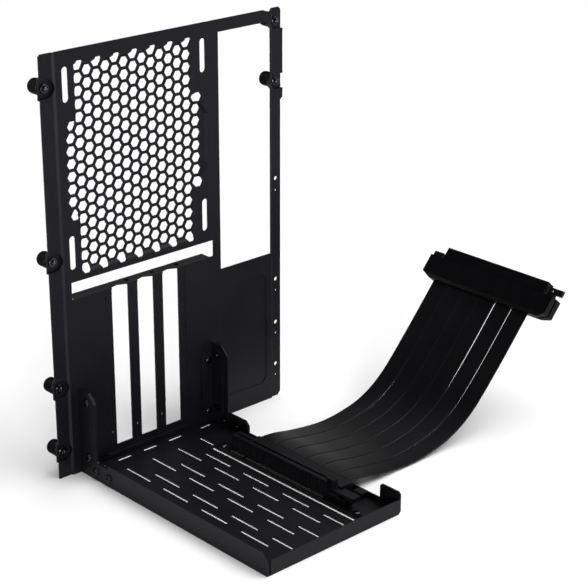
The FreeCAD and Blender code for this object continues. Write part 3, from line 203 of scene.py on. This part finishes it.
def smooth_line(turns):
    """Points of a quadratic NURBS line whose control points are the turns, in the plane Y = 0, metres."""
    curve = bpy.data.curves.new("ribbon_line", "CURVE")
    curve.dimensions = "3D"
    curve.resolution_u = POINTS_PER_TURN
    spline = curve.splines.new("NURBS")
    spline.points.add(len(turns) - 1)
    for point, (x, z) in zip(spline.points, turns):
        point.co = ((x - BASE_X) * MM, 0.0, z * MM, 1.0)
    spline.order_u = QUADRATIC
    spline.use_endpoint_u = True
    carrier = bpy.data.objects.new("ribbon_line", curve)
    mesh = bpy.data.meshes.new_from_object(carrier)
    flat = np.empty(len(mesh.vertices) * 3)
    mesh.vertices.foreach_get("co", flat)
    bpy.data.meshes.remove(mesh)
    bpy.data.objects.remove(carrier)
    bpy.data.curves.remove(curve)
    return flat.reshape(-1, 3)


LINE = smooth_line(TURNS)
STEPS = np.linalg.norm(np.diff(LINE, axis=0), axis=1)
# How far along the ribbon each point lies, from 0 at the board to 1 at the plug
ALONG = np.concatenate([[0.0], np.cumsum(STEPS)]) / STEPS.sum()

# %% [markdown]
# A strip is a grid of points: one ring for each point of the line. The two helpers below turn any such grid
# into a mesh, and the screws use them too.

# %% Helpers for grids
def new_mesh_object(name, points, faces, material):
    """A mesh object at the origin from an array of points and a list or array of faces."""
    mesh = bpy.data.meshes.new(name)
    mesh.from_pydata(points.reshape(-1, 3).tolist(), [], [list(map(int, f)) for f in faces])
    mesh.update()
    mesh.materials.append(material)
    thing = bpy.data.objects.new(name, mesh)
    bpy.context.scene.collection.objects.link(thing)
    return thing


def tube_faces(rows, columns, hollow=False):
    """Quads between neighbouring rings of a grid, closed round each ring, and one cap at either end. A hollow
    tube has no caps: its last ring joins its first."""
    row, column = np.meshgrid(np.arange(rows if hollow else rows - 1), np.arange(columns), indexing="ij")
    after, below = (column + 1) % columns, (row + 1) % rows
    quads = np.stack([row * columns + column, row * columns + after, below * columns + after,
                      below * columns + column], axis=-1).reshape(-1, 4)
    last = (rows - 1) * columns
    caps = [list(range(columns))[::-1], [last + k for k in range(columns)]]
    return quads.tolist() + ([] if hollow else caps)


# %% [markdown]
# No two strips lie quite alike. The gaps between them widen and close along the ribbon, and the nearer strips
# lift a little in the sag.

# %% The strips
STRIP_COUNT = 6
RIBBON_START, RIBBON_WIDTH, STRIP_GAP, STRIP_THICK = 52.1, 84.6, 0.7, 1.0
STRIP_WIDTH = (RIBBON_WIDTH - (STRIP_COUNT - 1) * STRIP_GAP) / STRIP_COUNT
# Points round a section, and how square its corners are across and upwards: 1 is round, 0 is square
SECTION_POINTS, SQUARE_ACROSS, SQUARE_UP = 28, 0.12, 0.45
# Width of each of the five gaps at five places along the ribbon, mm
GAP_PLACES = [0.0, 0.38, 0.52, 0.7, 1.0]
GAPS = [[0.7, 0.7, 0.6, 0.16, 0.14], [0.7, 0.7, 0.3, 0.14, 0.1], [0.7, 0.7, 0.2, 0.08, 0.08],
        [0.7, 0.7, 0.55, 0.85, 0.75], [0.7, 0.7, 0.3, 0.55, 0.6]]
# Height by which each strip lifts in the sag, mm, and where the sag begins and ends
LIFT = [0.0, 0.0, 0.1, 0.4, 1.3, 1.2]
SAG_FROM, SAG_TO = 0.18, 0.85
EDGE_Y = -RIBBON_START - BASE_Y
no_gap = np.zeros(len(ALONG))
OPEN = [no_gap] + [np.interp(ALONG, GAP_PLACES, gap) for gap in GAPS] + [no_gap]
# Middle of each gap, and the two outer edges, counted from the ribbon's far edge
INNER_SEAMS = [k * (STRIP_WIDTH + STRIP_GAP) - STRIP_GAP / 2 for k in range(1, STRIP_COUNT)]
SEAMS = [0.0] + INNER_SEAMS + [RIBBON_WIDTH]


def swell(start, end):
    """Nought outside a stretch of the line and a smooth hill inside it: the squared sine of the way through."""
    return np.sin(np.pi * np.clip((ALONG - start) / (end - start), 0, 1)) ** 2


def strip_points(line, near, far, thick):
    """Ring i is the section at line point i, between its near and far edge: across = half the width there times
    a squared-off cosine, up = half thickness times a squared-off sine, along Y and along the line's normal."""
    tangent = np.gradient(line, axis=0)
    tangent /= np.linalg.norm(tangent, axis=1)[:, None]
    normal = np.stack([-tangent[:, 2], np.zeros(len(line)), tangent[:, 0]], axis=1)
    angle = np.linspace(0, 2 * np.pi, SECTION_POINTS, endpoint=False)
    across = np.outer((far - near) / 2, np.sign(np.cos(angle)) * np.abs(np.cos(angle)) ** SQUARE_ACROSS)
    up = thick / 2 * np.sign(np.sin(angle)) * np.abs(np.sin(angle)) ** SQUARE_UP
    centre = line.copy()
    centre[:, 1] += (near + far) / 2
    rings = centre[:, None, :] + up[None, :, None] * normal[:, None, :]
    rings[:, :, 1] += across
    return rings, centre


for k in range(STRIP_COUNT):
    line = LINE.copy()
    line[:, 2] += LIFT[k] * MM * swell(SAG_FROM, SAG_TO)
    far = (EDGE_Y - SEAMS[k] - OPEN[k] / 2) * MM
    near = (EDGE_Y - SEAMS[k + 1] + OPEN[k + 1] / 2) * MM
    rings, centre = strip_points(line, near, far, STRIP_THICK * MM)
    strip = new_mesh_object("ribbon_film_%d" % (k + 1), rings, tube_faces(*rings.shape[:2]), film)
    strip.data.polygons.foreach_set("use_smooth", [True] * len(strip.data.polygons))
    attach(strip, "mount")
    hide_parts("ribbon_strip_%d" % (k + 1))
print("strips", STRIP_COUNT, "width", round(STRIP_WIDTH, 2), "mm")

# %% [markdown]
# ## Screws and thumbscrews
# A screw is turned on a lathe, so each one is a profile swept round its axis. A profile is a list of rows: the
# radius, the height along the axis, and 1 where the row is ribbed.

# %% Turned shapes
# Radius of the smallest ring, which a cap closes, and how deep below the tip a cross may be pressed, mm
POLE, CROSS_REACH = 0.02, 0.7


def turned_points(profile, columns, axis, place, ribs=0, rib_mm=0.0, cross=(0.0, 0.0, 0.0)):
    """Ring i has radius r and height h along the axis: point = place + h axis + r (cos a, sin a) across it.
    Rows marked 1 lose rib_mm (1 - cos(ribs a)) / 2 of radius; the cross (half length, half width, depth) is
    pressed in near the first rows."""
    radius, height, ribbed = np.array(profile, float).T
    angle = np.linspace(0, 2 * np.pi, columns, endpoint=False)
    r = radius[:, None] - ribbed[:, None] * rib_mm * (1 - np.cos(ribs * angle)) / 2
    u, v = r * np.cos(angle), r * np.sin(angle)
    h = np.repeat(height[:, None], columns, axis=1)
    long, wide, deep = cross
    inside = ((abs(u) < long) & (abs(v) < wide)) | ((abs(v) < long) & (abs(u) < wide))
    h = h + deep * inside * (height < height.min() + CROSS_REACH)[:, None]
    axis = np.array(axis, float)
    first = np.array([0.0, 0.0, 1.0]) if abs(axis[2]) < 0.5 else np.array([0.0, 1.0, 0.0])
    second = np.cross(axis, first)
    points = np.array(place, float) + u[..., None] * first + v[..., None] * second + h[..., None] * axis
    return (points - np.array([BASE_X, BASE_Y, 0.0])) * MM


def joined(name, shapes, material, hollow=False):
    """One mesh object from several rings-by-columns grids, each closed by its own caps unless hollow."""
    points, faces, count = [], [], 0
    for grid in shapes:
        faces += [[count + index for index in face] for face in tube_faces(*grid.shape[:2], hollow)]
        points.append(grid.reshape(-1, 3))
        count += len(points[-1])
    return new_mesh_object(name, np.concatenate(points), faces, material)


# %% [markdown]
# The pan heads are slightly domed and have a pressed cross. The dome is what catches a glint.

# %% Pan head screws
HEAD_R, HEAD_HIGH, HEAD_RIM, SHANK_R = 2.6, 1.5, 0.4, 1.5
DOME_ROWS, DOME_POWER, HEAD_COLUMNS = 18, 2.4, 48
HEAD_CROSS = (1.5, 0.42, 0.7)


def dome_height(r):
    """Height of the head over its seat: the rim and, above it, the root of 1 less a power of r over R."""
    return HEAD_RIM + (HEAD_HIGH - HEAD_RIM) * math.sqrt(max(0.0, 1 - (r / HEAD_R) ** DOME_POWER))


CAP = [(r, -dome_height(r), 0) for r in np.linspace(POLE, HEAD_R, DOME_ROWS)]
# Screws of the side plates as distance from the panel and height, the same on either side
SIDES = [(8.6, 51.5), (8.6, 13.6), (15.6, 6.0), (28.5, 6.0)]
LEFT_SEAT, RIGHT_SEAT, PANEL_SEAT, RISER_SEAT = 16.1, 126.7, -1.0, 2.0
PANEL_SEATS = [(x, PANEL_SEAT, z) for x in (21.9, 121.9) for z in (46.3, 9.3)]
RISER_SEATS = [(103.9, -y, RISER_SEAT) for y in (36.8, 160.0)]
# Node: where its screws sit, which way they point, and the length of the shank
SCREWS = {"panel_screws": (PANEL_SEATS, (0, 1, 0), 3.6),
          "bracket_screws_left": ([(LEFT_SEAT, -y, z) for y, z in SIDES], (1, 0, 0), 5.0),
          "bracket_screws_right": ([(RIGHT_SEAT, -y, z) for y, z in SIDES], (-1, 0, 0), 5.0),
          "riser_screws": (RISER_SEATS, (0, 0, -1), 1.8)}
for node, (seats, axis, length) in SCREWS.items():
    profile = CAP + [(HEAD_R, 0.0, 0), (SHANK_R, 0.0, 0), (SHANK_R, length, 0), (POLE, length, 0)]
    shapes = [turned_points(profile, HEAD_COLUMNS, axis, seat, cross=HEAD_CROSS) for seat in seats]
    heads = joined(node.replace("screws", "pan_heads"), shapes, black_zinc)
    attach(heads, "mount")
    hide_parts(node)
print("screw sets", len(SCREWS))

# %% [markdown]
# Two small forms of the panel are turned shapes as well: round spots near the feet of the card slots, smooth
# enough to glint, and a collar drawn downwards under each hole of the card flange, which keeps the hole dark.

# %% Pressed spots and drawn collars
CARD_PITCH, CARD_COUNT = 20.32, 3
SPOT_R, SPOT_HIGH, SPOT_SUNK, SPOT_ROWS, SPOT_COLUMNS = 1.1, 0.8, 0.1, 10, 32
SPOT_X, SPOT_Z = 41.8, 19.0
# A spot is a paraboloid: its height falls with the square of the radius
SPOT = [(r, -SPOT_HIGH * (1 - (r / SPOT_R) ** 2), 0) for r in np.linspace(POLE, SPOT_R, SPOT_ROWS)]
SPOT += [(SPOT_R, SPOT_SUNK, 0), (POLE, SPOT_SUNK, 0)]
SPOT_AT = [(SPOT_X + CARD_PITCH * k, 0.0, SPOT_Z) for k in range(CARD_COUNT)]
spot_shapes = [turned_points(SPOT, SPOT_COLUMNS, (0, 1, 0), place) for place in SPOT_AT]
spots = joined("pressed_spots", spot_shapes, black_zinc)

DRAWN_R, DRAWN_BORE, DRAWN_DEEP, DRAWN_COLUMNS = 2.4, 1.75, 0.9, 48
# First hole of the flange, and the flange's underside
HOLE_X, HOLE_Y, FLANGE_UNDER = 60.6, 4.8, 117.2
DRAWN = [(DRAWN_R, 0.0, 0), (DRAWN_R, DRAWN_DEEP, 0), (DRAWN_BORE, DRAWN_DEEP, 0), (DRAWN_BORE, 0.0, 0)]
DRAWN_AT = [(HOLE_X + CARD_PITCH * k, HOLE_Y, FLANGE_UNDER) for k in range(CARD_COUNT)]
drawn_shapes = [turned_points(DRAWN, DRAWN_COLUMNS, (0, 0, -1), place) for place in DRAWN_AT]
collars = joined("drawn_collars", drawn_shapes, powder_coat, hollow=True)
for thing in (spots, collars):
    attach(thing, "mount")
print("spots", len(SPOT_AT), "collars", len(DRAWN_AT))

# %% [markdown]
# The knobs of the captive thumbscrews are knurled: a wheel presses fine ribs into the turned barrel, which here
# is a small cosine taken off the radius. A flat tip with a pressed cross looks out at the front of each pocket,
# a collar keeps the screw in, and the knob with its domed end stands behind the panel.

# %% Thumbscrews
SIDES_ROUND, RIBS, RIB_DEEP = 144, 36, 0.35
CROSS = (1.35, 0.3, 0.6)
TIP_FLAT, TIP_ROWS, NECK_R = 1.4, 12, 1.7
BARREL_R, BARREL_FROM, BARREL_TO, BARREL_ROWS = 4.8, 1.1, 8.2, 26
CROWN_R, CROWN_FOOT, CROWN_HIGH, CROWN_ROWS = 4.75, 8.3, 2.7, 9
# The crown is an ellipse from near its foot to near its top, where the last ring closes it
CROWN_ARC = np.linspace(0.15, 1.45, CROWN_ROWS)
TIP_R = np.linspace(POLE, TIP_FLAT, TIP_ROWS)
TIP = [(r, -3.7, 0) for r in TIP_R] + [(NECK_R, -3.4, 0), (NECK_R, -2.42, 0)]
COLLAR = [(2.75, -2.4, 0), (3.0, -2.2, 0), (3.0, -1.7, 0), (2.8, -1.5, 0), (NECK_R, -1.48, 0)]
BARREL = [(NECK_R, 0.48, 0), (4.2, 0.5, 0), (4.65, 0.75, 0)]
BARREL += [(BARREL_R, y, 1) for y in np.linspace(BARREL_FROM, BARREL_TO, BARREL_ROWS)]
CROWN = [(CROWN_R * math.cos(t), CROWN_FOOT + CROWN_HIGH * math.sin(t), 0) for t in CROWN_ARC]
CROWN += [(POLE, 11.0, 0)]
POCKET_BACK, LEFT_X, RIGHT_X = 4.2, 4.0, 185.8
THUMBS = {"thumbscrew_left_1": (LEFT_X, 252.9), "thumbscrew_left_2": (LEFT_X, 144.9),
          "thumbscrew_left_3": (LEFT_X, 60.9), "thumbscrew_left_4": (LEFT_X, 17.8),
          "thumbscrew_right_1": (RIGHT_X, 264.9), "thumbscrew_right_2": (RIGHT_X, 225.1)}


def cross_faces():
    """The quads of the flat tip whose middle lies in the pressed cross: row by row, nearest the axis first."""
    middle = (TIP_R[1:] + TIP_R[:-1]) / 2
    angle = (np.arange(SIDES_ROUND) + 0.5) * 2 * np.pi / SIDES_ROUND
    u, v = np.outer(middle, np.abs(np.cos(angle))), np.outer(middle, np.abs(np.sin(angle)))
    long, wide = CROSS[:2]
    return (((u < long) & (v < wide)) | ((v < long) & (u < wide))).ravel()


for node, (x, z) in THUMBS.items():
    grid = turned_points(TIP + COLLAR + BARREL + CROWN, SIDES_ROUND, (0, 1, 0), (x, POCKET_BACK, z), ribs=RIBS,
                         rib_mm=RIB_DEEP, cross=CROSS)
    knob = joined(node.replace("thumbscrew", "knurled_thumbscrew"), [grid], anodised)
    knob.data.materials.append(black_zinc)
    knob.data.materials.append(painted_glint_zinc)
    # Finish 0 is the anodised knob, 1 the plated screw in front of it, 2 its cross, painted a lighter grey as a
    # glint
    finish = np.zeros(len(knob.data.polygons), dtype=np.int32)
    finish[:(len(TIP) + len(COLLAR)) * SIDES_ROUND] = 1
    finish[:(len(TIP_R) - 1) * SIDES_ROUND] += cross_faces()
    knob.data.polygons.foreach_set("material_index", finish)
    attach(knob, node + "_body")
    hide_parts(node)
print("thumbscrews", len(THUMBS))

# %% [markdown]
# ## Bench and light
# The object stands on a plain matt white bench, which is far larger than the view.

# %% Bench
BENCH_HALF = 8.0
CORNERS = [(-1, -1), (1, -1), (1, 1), (-1, 1)]
bench_mesh = bpy.data.meshes.new("white_bench")
bench_mesh.from_pydata([(x * BENCH_HALF, y * BENCH_HALF, 0) for x, y in CORNERS], [], [(0, 1, 2, 3)])
bench = bpy.data.objects.new("white_bench", bench_mesh)
bpy.context.scene.collection.objects.link(bench)
white = bpy.data.materials.new("matt_white_bench")
white.use_nodes = True
paint = white.node_tree.nodes["Principled BSDF"].inputs
paint["Base Color"].default_value = srgb("#f6f6f6")
paint["Roughness"].default_value = 0.9
paint["Specular IOR Level"].default_value = 0.1
bench_mesh.materials.append(white)
print("bench", 2 * BENCH_HALF, "m wide")

# %% [markdown]
# The studio is a world in two parts: dim walls that fade upwards, and a bright ceiling tilted to the front
# right. The ceiling stays high, so that the tray and the ribbon mirror the dim walls and keep black.

# %% Studio walls and ceiling
UP, CEILING_AXIS = (0, 0, 1), (0.35, -0.2, 0.915)
WALL_STRENGTH, CEILING_STRENGTH = 0.38, 3.55
world = bpy.data.worlds.new("studio_white")
world.use_nodes = True
sky = world.node_tree
sky.nodes.clear()
view = add(sky, "ShaderNodeTexCoord").outputs["Generated"]


def glow(axis, start, end, strength):
    """Light by the cosine between a direction and an axis: two (cosine, brightness) stops and a strength."""
    product = add(sky, "ShaderNodeVectorMath", {"operation": "DOT_PRODUCT"}, n0=view, n1=axis)
    ramp = add(sky, "ShaderNodeValToRGB", Fac=product.outputs["Value"])
    for stop, (place, bright) in zip(ramp.color_ramp.elements, (start, end)):
        stop.position = place
        stop.color = (bright, bright, bright, 1)
    light = add(sky, "ShaderNodeBackground", Color=ramp.outputs["Color"], Strength=strength)
    return light.outputs["Background"]


walls = glow(UP, (0.38, 1.0), (0.55, 0.35), WALL_STRENGTH)
ceiling = glow(CEILING_AXIS, (0.78, 0.0), (0.92, 1.0), CEILING_STRENGTH)
both = add(sky, "ShaderNodeAddShader", n0=walls, n1=ceiling).outputs["Shader"]
add(sky, "ShaderNodeOutputWorld", Surface=both)
bpy.context.scene.world = world
print("world", world.name)

# %% [markdown]
# A low lamp in front draws the step lines of the panel and the glints of the screws.

# %% Front lamp
LAMP_AT, LAMP_AIM, LAMP_SIDE, LAMP_WATTS = (-1.1, -1.65, 0.3), (0, 0.05, 0.12), 0.5, 32
lamp_data = bpy.data.lights.new("front_lamp", "AREA")
lamp_data.size = LAMP_SIDE
lamp_data.energy = LAMP_WATTS
lamp = bpy.data.objects.new("front_lamp", lamp_data)
bpy.context.scene.collection.objects.link(lamp)
facing = (Vector(LAMP_AIM) - Vector(LAMP_AT)).to_track_quat("-Z", "Y").to_matrix().to_4x4()
lamp.matrix_world = Matrix.Translation(LAMP_AT) @ facing
bpy.context.scene.view_settings.view_transform = "Standard"
bpy.context.scene.view_settings.look = "None"
print("lamp", LAMP_WATTS, "W")
